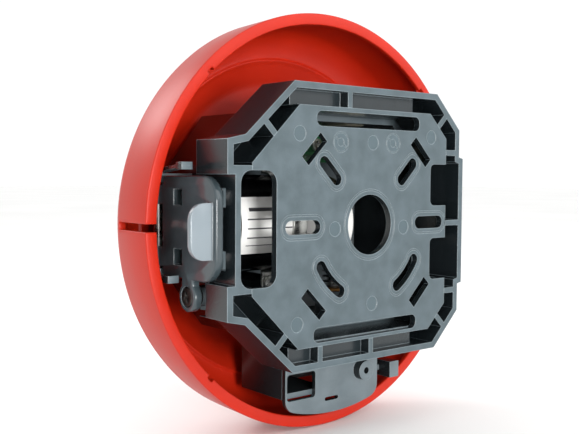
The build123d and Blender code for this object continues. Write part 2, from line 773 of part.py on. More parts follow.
with BuildPart() as striker_follower:
    with BuildSketch(Plane.XY.offset(follower_bottom)):
        with Locations((striker_x, -motor_depth)):
            Circle(follower_radius)
    extrude(amount=follower_thickness)
    fillet(striker_follower.faces().sort_by(Axis.Z)[-1].edges(), 0.6)
    with BuildSketch(Plane.XY.offset(follower_bottom)):
        with Locations((striker_x, -motor_depth)):
            Circle(striker_rod_radius)
    extrude(amount=1.2, mode=Mode.SUBTRACT)
striker_follower.part.label = "striker_follower"
export_step(striker_follower.part, "parts/striker_follower.step")

with BuildPart() as striker_tip:
    with BuildSketch(Plane.XY.offset(tip_end)):
        with Locations((striker_x, -motor_depth)):
            Circle(tip_radius)
    extrude(amount=tip_start - tip_end)
    fillet(striker_tip.faces().sort_by(Axis.Z)[0].edges(), tip_radius - 0.8)
    with BuildSketch(Plane.XY.offset(tip_start - 5)):
        with Locations((striker_x, -motor_depth)):
            Circle(striker_rod_radius)
    extrude(amount=5, mode=Mode.SUBTRACT)
striker_tip.part.label = "striker_tip"
export_step(striker_tip.part, "parts/striker_tip.step")

spring_wire = 0.45
spring_radius = striker_rod_radius + 1.3
spring_length = follower_bottom - bush_top - 2 * (spring_wire + 0.02)
spring_path = Helix(
    pitch=spring_length / 7,
    height=spring_length,
    radius=spring_radius,
    center=(striker_x, -motor_depth, bush_top + spring_wire + 0.02),
)
spring_start = Plane(origin=spring_path @ 0, z_dir=spring_path % 0)

with BuildPart() as striker_spring:
    with BuildSketch(spring_start):
        Circle(spring_wire)
    sweep(path=spring_path, is_frenet=True)
striker_spring.part.label = "striker_spring"
export_step(striker_spring.part, "parts/striker_spring.step")

# ---- the gong and what holds it ------------------------------------------------------------------

washer_thickness = 0.8
washer_radius = 9.0
flat_radius = washer_radius + 2
gong_hole_radius = thread_radius + 0.2
lip_inner_radius = gong_radius - gong_lip_width
ridge_outer = gong_radius - 15
ridge_inner = gong_radius - 22.8
ridge_outer_depth = gong_face_depth - 4.9
ridge_inner_depth = gong_face_depth - 1.0
bevel = gong_wall * 0.7

with BuildPart() as gong:
    with BuildSketch(Plane.XY):
        with BuildLine():
            Polyline(
                (gong_hole_radius, -gong_face_depth),
                (flat_radius, -gong_face_depth),
                (ridge_inner, -ridge_inner_depth),
                (ridge_outer, -ridge_outer_depth),
            )
            ThreePointArc(
                (ridge_outer, -ridge_outer_depth),
                (gong_bore_radius - 4.2, -(shoulder_depth + ridge_outer_depth) / 2 - 1.6),
                (gong_bore_radius - 0.6, -shoulder_depth),
            )
            Polyline(
                (gong_bore_radius - 0.6, -shoulder_depth),
                (gong_bore_radius, -rim_depth - gong_lip_thickness - 1.4),
                (lip_inner_radius, -rim_depth - gong_lip_thickness),
                (lip_inner_radius, -rim_depth),
                (gong_radius, -rim_depth),
                (gong_radius - 0.6, -shoulder_depth),
            )
            ThreePointArc(
                (gong_radius - 0.6, -shoulder_depth),
                (gong_radius - 4.9, -(shoulder_depth + ridge_outer_depth) / 2 - 3.2),
                (ridge_outer + bevel, -ridge_outer_depth - bevel),
            )
            Polyline(
                (ridge_outer + bevel, -ridge_outer_depth - bevel),
                (ridge_inner + 0.6, -ridge_inner_depth - gong_wall),
                (flat_radius, -gong_face_depth - gong_wall),
                (gong_hole_radius, -gong_face_depth - gong_wall),
                (gong_hole_radius, -gong_face_depth),
            )
        make_face()
    revolve(axis=Axis.Y)
    # a slot in line with the latch, so that a thin tool reaches it
    with Locations((gong_radius - 3, -rim_depth - gong_slot_length / 2 + 1, 0)):
        Box(12, gong_slot_length + 2, gong_slot_width, mode=Mode.SUBTRACT)
    # small notches in the lip
    with BuildSketch(front_plane(rim_depth)):
        with PolarLocations(lip_inner_radius, 4, start_angle=45):
            Rectangle(2 * lip_notch_depth, lip_notch_width)
    extrude(amount=gong_lip_thickness, mode=Mode.SUBTRACT)
gong.part.label = "gong"
export_step(gong.part, "parts/gong.step")

nut_corner_radius = 6.4
gong_front_depth = gong_face_depth + gong_wall
nut_depth = gong_front_depth + washer_thickness

with BuildPart() as gong_post:
    with BuildSketch(front_plane(chassis_front_depth - 1)):
        Circle(post_base_radius)
    extrude(amount=2.2)
    with BuildSketch(front_plane(chassis_front_depth)):
        Circle(thread_radius + 2)
    extrude(amount=gong_face_depth - washer_thickness - chassis_front_depth)
    with BuildSketch(front_plane(chassis_front_depth)):
        Circle(thread_radius)
    extrude(amount=nut_depth + 3.6 - chassis_front_depth)
gong_post.part.label = "gong_post"
export_step(gong_post.part, "parts/gong_post.step")

with BuildPart() as gong_washers:
    for depth in (gong_face_depth - washer_thickness, gong_front_depth):
        with BuildSketch(front_plane(depth)):
            Circle(washer_radius)
            Circle(gong_hole_radius, mode=Mode.SUBTRACT)
        extrude(amount=washer_thickness)
gong_washers.part.label = "gong_washers"
export_step(gong_washers.part, "parts/gong_washers.step")

with BuildPart() as gong_nut:
    with BuildSketch(front_plane(nut_depth)):
        RegularPolygon(nut_corner_radius, 6)
    extrude(amount=3.2)
    with BuildSketch(front_plane(nut_depth + 3.2)):
        Circle(4.8)
    extrude(amount=2.6)
    fillet(gong_nut.faces().sort_by(Axis.Y)[0].edges(), 2.2)
    with BuildSketch(front_plane(nut_depth)):
        Circle(thread_radius)
    extrude(amount=3.6, mode=Mode.SUBTRACT)
gong_nut.part.label = "gong_nut"
export_step(gong_nut.part, "parts/gong_nut.step")

# ---- the latch -----------------------------------------------------------------------------------

barrel_start = 7.0
barrel_end = pivot_cheek_start - 0.5
latch_tip_depth = 2.5
latch_corner = 8.0
ear_radius = 4.8
lock_head_radius = 3.1
lock_seat = 1.4
hook_z = 9.75
hook_length = latch_inner_x - recess_x - hook_gap

with BuildPart() as latch_arm:
    with BuildSketch(side_plane(latch_inner_x)) as latch_face:
        with BuildLine():
            Polyline(
                (-latch_pivot_depth + 4.6, -latch_half_height),
                (-latch_tip_depth, -latch_half_height),
                (-latch_tip_depth, latch_half_height),
                (-latch_pivot_depth + 4.6, latch_half_height),
                close=True,
            )
        make_face()
        fillet(latch_face.vertices().group_by(Axis.X)[-1], radius=latch_corner)
        with Locations((-lock_depth, lock_z)):
            Circle(ear_radius)
        with Locations((-lock_depth, (lock_z - latch_half_height) / 2)):
            Rectangle(6.4, -lock_z - latch_half_height + 1)
        for side in (1, -1):
            with Locations((-latch_pivot_depth + 2.4, side * (barrel_start + barrel_end) / 2)):
                Rectangle(5, barrel_end - barrel_start)
            with Locations((-box_depth - 7.2, side * 9.6)):
                Rectangle(4.9, 5.2, mode=Mode.SUBTRACT)
        with Locations((-lock_depth, lock_z)):
            Circle(lock_screw_radius + 0.2, mode=Mode.SUBTRACT)
    extrude(amount=latch_thickness)
    chamfer(latch_arm.faces().sort_by(Axis.X)[-1].outer_wire().edges(), 0.4)
    # a seat for the head of the lock screw
    with BuildSketch(side_plane(latch_outer_x - lock_seat)):
        with Locations((-lock_depth, lock_z)):
            Circle(lock_head_radius + 0.2)
    extrude(amount=lock_seat, mode=Mode.SUBTRACT)
    # barrels on the latch pin
    for side in (1, -1):
        with Locations((latch_pivot_x, -latch_pivot_depth, side * (barrel_start + barrel_end) / 2)):
            Cylinder(3, barrel_end - barrel_start)
    with Locations((latch_pivot_x, -latch_pivot_depth, 0)):
        Cylinder(latch_pin_radius + running_fit, 4 * barrel_end, mode=Mode.SUBTRACT)
    # the thumb tab
    with BuildSketch(front_plane(4)) as tab_face:
        with Locations((latch_outer_x + 3.7, -0.4)):
            Rectangle(8.4, 17.4)
        fillet(tab_face.vertices().group_by(Axis.X)[-1], radius=5)
    extrude(amount=2)
    # hooks that drop into the windows of the box
    for side in (1, -1):
        with Locations((latch_inner_x - hook_length / 2 + 0.25, -7.5, side * hook_z)):
            Box(hook_length + 0.5, 3, 4.9)
latch_arm.part.label = "latch_arm"
export_step(latch_arm.part, "parts/latch_arm.step")

with BuildPart() as latch_pivot_pin:
    with Locations((latch_pivot_x, -latch_pivot_depth, 0)):
        Cylinder(latch_pin_radius, 2 * pivot_cheek_end)
    with Locations((latch_pivot_x, -latch_pivot_depth, pivot_cheek_end + 0.5)):
        Cylinder(latch_pin_radius + 0.7, 1)
latch_pivot_pin.part.label = "latch_pivot_pin"
export_step(latch_pivot_pin.part, "parts/latch_pivot_pin.step")

coil_radius = latch_pin_radius + 1.1
coil_wire = 0.5
coil_height = 9.35
coil_path = Helix(
    pitch=1.7,
    height=coil_height,
    radius=coil_radius,
    center=(latch_pivot_x, -latch_pivot_depth, -coil_height / 2),
)
coil_start = Plane(origin=coil_path @ 0, z_dir=coil_path % 0)
leg_length = 8.0

with BuildPart() as latch_spring:
    with BuildSketch(coil_start):
        Circle(coil_wire)
    sweep(path=coil_path, is_frenet=True)
    # one leg lies along the outside of the latch, the other against the chassis
    with BuildSketch(Plane(origin=coil_path @ 0, z_dir=(0, 1, 0))):
        Circle(coil_wire)
    extrude(amount=-0.6)
    with BuildSketch(Plane(origin=coil_path @ 1, z_dir=(0, -1, 0))):
        Circle(coil_wire)
    extrude(amount=leg_length)
latch_spring.part.label = "latch_spring"
export_step(latch_spring.part, "parts/latch_spring.step")

with BuildPart() as lock_screw:
    with BuildSketch(side_plane(latch_outer_x - lock_seat + running_fit)):
        with Locations((-lock_depth, lock_z)):
            Circle(lock_head_radius)
    extrude(amount=1.3)
    fillet(lock_screw.faces().sort_by(Axis.X)[-1].edges(), 0.4)
    with BuildSketch(side_plane(latch_outer_x - lock_seat + running_fit)):
        with Locations((-lock_depth, lock_z)):
            Circle(lock_screw_radius)
    extrude(amount=-7)
    with BuildSketch(side_plane(latch_outer_x - 0.7)):
        with Locations((-lock_depth, lock_z)):
            Rectangle(3.6, 0.8, rotation=20)
            Rectangle(0.8, 3.6, rotation=20)
    extrude(amount=2, mode=Mode.SUBTRACT)
lock_screw.part.label = "lock_screw"
export_step(lock_screw.part, "parts/lock_screw.step")

# ---- the circuit board, its parts and leads ------------------------------------------------------

board_start = -27.0
board_end = 30.0

with BuildPart() as circuit_board:
    with BuildSketch(front_plane(board_depth)):
        with Locations(((board_start + board_end) / 2, board_middle)):
            Rectangle(board_end - board_start, board_top - board_bottom)
        with Locations(*board_screw_places):
            Circle(screw_radius + 0.2, mode=Mode.SUBTRACT)
        # a bite out of the edge clears the strap boss
        with Locations((strap_x, strap_screw_z)):
            Circle(screw_boss_radius + 0.5, mode=Mode.SUBTRACT)
    extrude(amount=board_thickness)
circuit_board.part.label = "circuit_board"
export_step(circuit_board.part, "parts/circuit_board.step")

board_screws = pan_screws(board_depth, board_screw_places, 2.4, 4.5, 1.4, -1)
board_screws.part.label = "board_screws"
export_step(board_screws.part, "parts/board_screws.step")

block_x = -22.0
block_pitch = 4.2
block_height = 14.0
block_screw_places = [(block_x - block_pitch / 2, board_middle), (block_x + block_pitch / 2, board_middle)]

with BuildPart() as terminal_block:
    with BuildSketch(front_plane(board_depth - block_height)):
        with Locations((block_x, board_middle)):
            Rectangle(8.6, 11)
    extrude(amount=block_height)
    chamfer(terminal_block.faces().sort_by(Axis.Y)[-1].edges().filter_by(Axis.X), 2)
    with BuildSketch(front_plane(board_depth - block_height)):
        with Locations(*block_screw_places):
            Circle(1.6)
    extrude(amount=3, mode=Mode.SUBTRACT)
    with BuildSketch(Plane.XY.offset(board_middle - 5.5)):
        for x, z in block_screw_places:
            with Locations((x, -board_depth + block_height / 2)):
                Rectangle(3, 4)
    extrude(amount=7, mode=Mode.SUBTRACT)
terminal_block.part.label = "terminal_block"
export_step(terminal_block.part, "parts/terminal_block.step")

with BuildPart() as terminal_screws:
    with BuildSketch(front_plane(board_depth - block_height + 0.6)):
        with Locations(*block_screw_places):
            Circle(1.5)
    extrude(amount=2.4)
    with BuildSketch(front_plane(board_depth - block_height + 0.6)):
        with Locations(*block_screw_places):
            Rectangle(2.6, 0.6)
    extrude(amount=0.8, mode=Mode.SUBTRACT)
terminal_screws.part.label = "terminal_screws"
export_step(terminal_screws.part, "parts/terminal_screws.step")

capacitor_radius = 4.5
capacitor_height = 11.0

with BuildPart() as capacitor:
    with BuildSketch(front_plane(board_depth - capacitor_height)):
        with Locations((8, board_middle)):
            Circle(capacitor_radius)
    extrude(amount=capacitor_height)
    fillet(capacitor.faces().sort_by(Axis.Y)[-1].edges(), 0.8)
capacitor.part.label = "capacitor"
export_step(capacitor.part, "parts/capacitor.step")

diode_x = -5.0
diode_lift = 1.4
diode_leg = 4.2
wire_radius = 0.35

with BuildPart() as diode:
    with BuildSketch(side_plane(diode_x - 3)):
        with Locations((-board_depth + diode_lift, board_middle)):
            Circle(diode_lift - 0.1)
    extrude(amount=6)
    with BuildSketch(front_plane(board_depth - diode_lift)):
        with Locations((diode_x - diode_leg, board_middle), (diode_x + diode_leg, board_middle)):
            Circle(wire_radius)
    extrude(amount=diode_lift)
    with BuildSketch(side_plane(diode_x - diode_leg - 0.3)):
        with Locations((-board_depth + diode_lift, board_middle)):
            Circle(wire_radius)
    extrude(amount=2 * diode_leg + 0.6)
diode.part.label = "diode"
export_step(diode.part, "parts/diode.step")

with BuildPart() as board_socket:
    with BuildSketch(front_plane(board_depth - 5)):
        with Locations((17.5, board_middle)):
            Rectangle(6, 7)
    extrude(amount=5)
board_socket.part.label = "board_socket"
export_step(board_socket.part, "parts/board_socket.step")

lead_radius = 0.7
lead_x = motor_end + 1.6
lead_end = (20.5, -board_depth + 3)


def lead(route, radius):
    """A lead along a route of straight runs with rounded corners."""
    path = FilletPolyline(*route, radius=radius)
    with BuildPart() as wire:
        with BuildSketch(Plane(origin=path @ 0, z_dir=path % 0)):
            Circle(lead_radius)
        sweep(path=path)
    return wire


lead_red = lead(
    [
        (lead_x, -motor_depth + 5, 8.7),
        (lead_x, -motor_depth + 5, motor_radius + 1),
        (motor_end - 6, -motor_depth - 0.5, board_middle - 3),
        (motor_end - 16, lead_end[1], board_middle + 1.6),
        (*lead_end, board_middle + 1.6),
    ],
    2,
)
lead_red.part.label = "lead_red"
export_step(lead_red.part, "parts/lead_red.step")

lead_black = lead(
    [
        (lead_x, -motor_depth + 5.5, -7),
        (lead_x, -motor_depth + 10.5, -7),
        (lead_x, -motor_depth + 10.5, motor_radius),
        (motor_end - 5, -motor_depth + 6.5, board_middle - 5),
        (motor_end - 16, lead_end[1], board_middle - 1.6),
        (*lead_end, board_middle - 1.6),
    ],
    2,
)
lead_black.part.label = "lead_black"
export_step(lead_black.part, "parts/lead_black.step")
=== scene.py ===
# %% [markdown]
# # A fire alarm bell, seen from the wall side
#
# The bell is a red gong over a motor and a striker. They ride on a grey chassis, which swings on a
# moulded box that is screwed to the wall. The exact shapes of the moving parts come from the packed
# model. This lesson gives them rounded edges and real finishes, turns a new gong, and sets up a
# small white studio.

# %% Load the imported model
import json
from math import cos, pi, radians, sin

import bpy
from mathutils import Matrix, Vector

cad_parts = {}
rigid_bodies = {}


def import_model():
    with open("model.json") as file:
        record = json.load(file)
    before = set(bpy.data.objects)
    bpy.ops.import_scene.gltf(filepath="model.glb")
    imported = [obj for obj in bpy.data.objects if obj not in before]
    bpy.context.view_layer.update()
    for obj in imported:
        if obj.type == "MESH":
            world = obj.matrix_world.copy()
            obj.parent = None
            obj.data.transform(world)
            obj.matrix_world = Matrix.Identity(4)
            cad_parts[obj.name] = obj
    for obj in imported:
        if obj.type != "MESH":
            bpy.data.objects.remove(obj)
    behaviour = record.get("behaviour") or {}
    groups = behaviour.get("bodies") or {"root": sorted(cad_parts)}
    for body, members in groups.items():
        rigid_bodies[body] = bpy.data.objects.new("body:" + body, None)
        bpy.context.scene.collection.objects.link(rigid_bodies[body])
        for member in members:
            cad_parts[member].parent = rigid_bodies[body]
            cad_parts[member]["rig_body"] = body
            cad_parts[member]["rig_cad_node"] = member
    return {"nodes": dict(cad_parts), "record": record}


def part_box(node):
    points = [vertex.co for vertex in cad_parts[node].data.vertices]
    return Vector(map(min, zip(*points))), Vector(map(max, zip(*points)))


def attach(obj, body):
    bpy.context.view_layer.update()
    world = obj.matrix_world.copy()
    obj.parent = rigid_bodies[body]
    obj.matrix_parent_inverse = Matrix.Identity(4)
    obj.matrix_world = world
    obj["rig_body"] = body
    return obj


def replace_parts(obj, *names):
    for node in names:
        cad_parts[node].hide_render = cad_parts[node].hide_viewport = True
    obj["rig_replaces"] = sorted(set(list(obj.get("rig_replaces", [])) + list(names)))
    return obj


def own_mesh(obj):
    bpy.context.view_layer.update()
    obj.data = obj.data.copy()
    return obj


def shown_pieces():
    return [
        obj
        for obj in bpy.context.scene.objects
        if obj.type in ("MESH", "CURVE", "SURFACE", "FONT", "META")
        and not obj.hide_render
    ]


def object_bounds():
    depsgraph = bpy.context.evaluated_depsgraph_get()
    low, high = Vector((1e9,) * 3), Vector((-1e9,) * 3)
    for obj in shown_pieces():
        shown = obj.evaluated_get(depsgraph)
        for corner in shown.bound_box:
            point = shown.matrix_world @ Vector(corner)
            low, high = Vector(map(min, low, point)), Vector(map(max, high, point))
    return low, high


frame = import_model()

nodes = frame["nodes"]
members_of_body = frame["record"]["behaviour"]["bodies"]
body_of_node = {node: body for body, members in members_of_body.items() for node in members}
slot_of_node = {part["node"]: part["material_slot"] for part in frame["record"]["subparts"]}
bpy.context.view_layer.update()
cad_box = [list(corner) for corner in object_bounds()]

# %% [markdown]
# ## The camera
#
# The bell is looked at from behind and from its latch side, a little above the middle. A camera can
# be turned by three angles, but the view is easier to read when its axes are worked out first: the
# way it looks, what is to its right and what is above it.

# %% Place the camera
MM = 0.001
turn = radians(39.288)
tilt = radians(2.795)
roll = radians(0.36)
camera_place = Vector((206.19, 208.11, 16.69)) * MM
focal_length = 52.6
back = Vector((sin(turn) * cos(tilt), cos(turn) * cos(tilt), sin(tilt)))
right = Vector((-cos(turn), sin(turn), 0))
up = back.cross(right)
rolled_right = right * cos(roll) + up * sin(roll)
rolled_up = up * cos(roll) - right * sin(roll)

bpy.ops.object.camera_add()
camera = bpy.context.active_object
camera.name = "camera"
camera.data.lens = focal_length
camera.data.sensor_width = 36
camera.data.clip_start = 10 * MM
camera.matrix_world = (
    Matrix.Translation(camera_place)
    @ Matrix((rolled_right, rolled_up, back)).transposed().to_4x4()
)
bpy.context.scene.camera = camera
print("camera at", tuple(round(v, 4) for v in camera.matrix_world.translation))

# %% [markdown]
# ## Small helpers
#
# An operator works on everything that is selected, and the import leaves the whole bell selected. So
# each step first selects just what it means to change. Modifiers are applied as soon as they are
# added, which keeps every finished piece a plain mesh.


# %% Helpers for selecting and finishing
def only(*pieces):
    """Selects these pieces and nothing else, and makes the last one active."""
    bpy.ops.object.select_all(action="DESELECT")
    for piece in pieces:
        piece.select_set(True)
        bpy.context.view_layer.objects.active = piece


def finish_with(piece, kind, **settings):
    """Adds a modifier with these settings and applies it."""
    only(piece)
    modifier = piece.modifiers.new(kind.title(), kind)
    for name, value in settings.items():
        setattr(modifier, name, value)
    bpy.ops.object.modifier_apply(modifier=modifier.name)


def smooth(piece, degrees=30):
    only(piece)
    bpy.ops.object.shade_smooth_by_angle(angle=radians(degrees))


def settle(piece, name, node):
    """Names a piece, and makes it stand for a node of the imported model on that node's body."""
    piece.name = name
    only(piece)
    bpy.ops.object.transform_apply(location=True, rotation=True, scale=True)
    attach(piece, body_of_node[node])
    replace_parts(piece, node)
    print(name, "has", len(piece.data.polygons), "faces")
    return piece


# %% [markdown]
# ## The gong
#
# The gong is pressed from sheet steel: a drum with a turned-in lip, a round shoulder and two shallow
# steps up to a flat crown. It could be a profile that is spun round, but here it grows ring by ring,
# as on a spinning lathe. One circle is extruded along the outside to the crown, and then back along
# the inside to the lip, where the last ring meets the first.

# %% The stations of the gong's wall
gong_low, gong_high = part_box("gong")
gong_radius = gong_high.z / MM
rim_depth = -gong_high.y / MM
crown_depth = -gong_low.y / MM
wall = 2.4
lip_width = 4.0
lip_thickness = 2.0
lip_slope = 1.4
drum_taper = 0.6
drum_height = 18.7
face_depth = crown_depth - wall
bore_radius = 3.2
shoulder_depth = rim_depth + drum_height
step_outer = (gong_radius - 15, face_depth - 4.9)
step_inner = (gong_radius - 22.8, face_depth - 1)
flat_radius = 11.0
around = 192


def shoulder(start, end, bulge, steps=9):
    """Points on the round shoulder between two stations, bulging outwards by bulge millimetres."""
    (r0, d0), (r1, d1) = start, end
    length = ((r1 - r0) ** 2 + (d1 - d0) ** 2) ** 0.5
    out = ((d1 - d0) / length, (r0 - r1) / length)
    points = []
    for i in range(1, steps):
        t = i / steps
        lift = bulge * sin(pi * t) ** 0.8
        points.append((r0 + (r1 - r0) * t + out[0] * lift, d0 + (d1 - d0) * t + out[1] * lift))
    return points


def eased(before, corner, after, reach, steps=4):
    """A corner between two stations, eased over that reach to each side."""
    start = Vector(corner) + (Vector(before) - Vector(corner)).normalized() * reach
    end = Vector(corner) + (Vector(after) - Vector(corner)).normalized() * reach
    points = []
    for i in range(steps + 1):
        t = i / steps
        points.append(tuple(start * (1 - t) ** 2 + Vector(corner) * 2 * t * (1 - t) + end * t**2))
    return points


outer_start = (gong_radius - drum_taper, shoulder_depth)
outer_end = (step_outer[0] + 0.7 * wall, step_outer[1] + 0.7 * wall)
outer_crown = (step_inner[0] + 0.6, step_inner[1] + wall)
inner_start = (gong_radius - wall - drum_taper, shoulder_depth)
outside = [
    (gong_radius, rim_depth),
    (gong_radius - drum_taper / 2, rim_depth + 9),
    outer_start,
    *shoulder(outer_start, outer_end, 2.7),
    *eased(outer_start, outer_end, outer_crown, 1.2),
    *eased(outer_end, outer_crown, (flat_radius, crown_depth), 1.2),
    (flat_radius, crown_depth),
    (bore_radius, crown_depth),
]
inside = [
    (bore_radius, face_depth),
    (flat_radius, face_depth),
    *eased((flat_radius, face_depth), step_inner, step_outer, 1.4),
    *eased(step_inner, step_outer, inner_start, 1.4),
    *reversed(shoulder(inner_start, step_outer, 2.5)),
    inner_start,
    (gong_radius - wall, rim_depth + lip_thickness + lip_slope),
    (gong_radius - lip_width, rim_depth + lip_thickness),
    (gong_radius - lip_width, rim_depth),
]
print("the gong is", 2 * gong_radius, "mm across and has", len(outside) + len(inside), "rings")

# %% Grow the gong ring by ring
bpy.ops.object.select_all(action="DESELECT")
bpy.ops.mesh.primitive_circle_add(
    vertices=around,
    radius=outside[0][0] * MM,
    fill_type="NOTHING",
    location=(0, -outside[0][1] * MM, 0),
    rotation=(pi / 2, 0, 0),
)
gong = bpy.context.active_object
bpy.ops.object.transform_apply(location=True, rotation=True, scale=True)
bpy.ops.object.mode_set(mode="EDIT")
bpy.ops.mesh.select_all(action="SELECT")
radius, depth = outside[0]
for next_radius, next_depth in outside[1:] + inside:
    step = (0, (depth - next_depth) * MM, 0)
    bpy.ops.mesh.extrude_region_move(TRANSFORM_OT_translate={"value": step})
    grow = next_radius / radius
    bpy.ops.transform.resize(value=(grow, 1, grow), center_override=(0, -next_depth * MM, 0))
    radius, depth = next_radius, next_depth
bpy.ops.mesh.select_all(action="DESELECT")
bpy.ops.mesh.select_non_manifold()
bpy.ops.mesh.bridge_edge_loops()
bpy.ops.mesh.select_all(action="SELECT")
bpy.ops.mesh.normals_make_consistent(inside=False)
bpy.ops.object.mode_set(mode="OBJECT")
finish_with(gong, "BEVEL", width=0.4 * MM, segments=3, limit_method="ANGLE", angle_limit=radians(35))
print("the turned shell has", len(gong.data.polygons), "faces")

# %% [markdown]
# A slot in the drum lines up with the latch, so that a thin tool can reach it from outside, and the
# lip has four small notches. Both are cut with a Boolean, because they cross many of the rings.


# %% Cut the slot and the notches
def cut_block(piece, centre, size, lean=0):
    """Takes a block with slightly rounded edges out of a piece; lean turns it about the gong's axis."""
    bpy.ops.object.select_all(action="DESELECT")
    bpy.ops.mesh.primitive_cube_add(size=1, location=centre, scale=size, rotation=(0, lean, 0))
    block = bpy.context.active_object
    bpy.ops.object.transform_apply(location=True, rotation=True, scale=True)
    finish_with(block, "BEVEL", width=0.3 * MM, segments=2)
    finish_with(piece, "BOOLEAN", operation="DIFFERENCE", solver="EXACT", object=block)
    only(block)
    bpy.ops.object.delete()


slot_size = Vector((12, 20.4, 2.6)) * MM
slot_centre = Vector((gong_radius - 3, -rim_depth - 8.2, 0)) * MM
notch_size = Vector((2.6, 5, 2.6)) * MM
cut_block(gong, slot_centre, slot_size)
for i in range(4):
    angle = pi / 4 + i * pi / 2
    out = Vector((cos(angle), 0, sin(angle)))
    centre = out * (gong_radius - lip_width) * MM + Vector((0, -rim_depth * MM, 0))
    cut_block(gong, centre, notch_size, -angle)
finish_with(gong, "BEVEL", width=0.15 * MM, segments=2, limit_method="ANGLE", angle_limit=radians(50))
smooth(gong, 32)
settle(gong, "gong_shell", "gong")

# %% [markdown]
# ## Rounded edges on the mouldings and the metal parts
#
# No moulding has razor edges: the tool that made it leaves a small radius, and that radius is what
# catches the light. The imported parts are exact but sharp, so these are copied, their loose
# triangles are merged, flat areas are joined into single faces, and a small bevel follows. The box
# and its plate keep their own mesh, because a bevel leaves dents on a face with that many holes.
# Their edges are rounded in the material instead, and every material also paints a paler colour along
# the edges, a painted highlight.

# %% Copy a node and round its edges
edge_radius = {
    "chassis": 0.15,
    "striker_guard": 0.15,
    "latch_arm": 0.2,
    "terminal_block": 0.15,
    "motor_end_cap": 0.15,
    "motor_strap": 0.1,
    "striker_cam": 0.15,
    "gong_nut": 0.2,
    "gong_washers": 0.15,
    "board_socket": 0.15,
    "guard_screws": 0.1,
    "strap_screws": 0.1,
    "board_screws": 0.1,
    "lock_screw": 0.08,
    "hinge_pin": 0.15,
    "latch_pivot_pin": 0.15,
    "motor_terminals": 0.1,
    "striker_bush": 0.15,
    "circuit_board": 0.1,
}


def copy_of(node):
    """A merged copy of a node's mesh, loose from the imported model."""
    only(nodes[node])
    bpy.ops.object.duplicate()
    piece = bpy.context.active_object
    bpy.ops.object.parent_clear(type="CLEAR_KEEP_TRANSFORM")
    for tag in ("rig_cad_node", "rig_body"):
        del piece[tag]
    bpy.ops.object.mode_set(mode="EDIT")
    bpy.ops.mesh.select_all(action="SELECT")
    bpy.ops.mesh.remove_doubles(threshold=0.001 * MM)
    bpy.ops.object.mode_set(mode="OBJECT")
    return piece


for node, edge in edge_radius.items():
    piece = copy_of(node)
    bpy.ops.mesh.customdata_custom_splitnormals_clear()
    bpy.ops.object.mode_set(mode="EDIT")
    bpy.ops.mesh.select_all(action="SELECT")
    bpy.ops.mesh.dissolve_limited(angle_limit=radians(0.5))
    bpy.ops.object.mode_set(mode="OBJECT")
    finish_with(
        piece,
        "BEVEL",
        width=edge * MM,
        segments=2,
        limit_method="ANGLE",
        angle_limit=radians(35),
        use_clamp_overlap=False,
    )
    smooth(piece, 30)
    settle(piece, node + "_rounded", node)

# %% [markdown]
# The striker's return spring is squeezed by the striker as it travels. Here the spring is copied,
# smoothed and given a mesh of its own, and the middle of its foot is found.

# %% The return spring
spring = copy_of("striker_spring")
smooth(spring, 60)
settle(spring, "return_spring", "striker_spring")
spring_low, spring_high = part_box("striker_spring")
spring_foot = (spring_low + spring_high) / 2
spring_foot.z = spring_low.z
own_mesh(spring)

# %% [markdown]
# ## Materials
#
# Every finish is built from the same few ideas: a slow change of tint, because no paint or moulding
# is perfectly even, a fine grain that only lifts the surface a few hundredths of a millimetre, and a
# roughness that wanders a little. Paler edges are a painted highlight: they come from comparing the
# true normal with one that is rounded over a small radius, which also rounds the shading of the edges.


# %% Colour and node helpers
def colour(code):
    """A hex colour as seen on a screen, turned to the linear values that the renderer mixes."""
    parts = [int(code[i : i + 2], 16) / 255 for i in (1, 3, 5)]
    return [p / 12.92 if p <= 0.04045 else ((p + 0.055) / 1.055) ** 2.4 for p in parts] + [1.0]


def add_node(tree, kind, inputs=(), **settings):
    """Adds one node, sets its options and its input values, and links the inputs given as sockets."""
    node = tree.nodes.new(kind)
    for name, value in settings.items():
        setattr(node, name, value)
    for name, value in dict(inputs).items():
        if isinstance(value, bpy.types.NodeSocket):
            tree.links.new(value, node.inputs[name])
        else:
            node.inputs[name].default_value = value
    return node


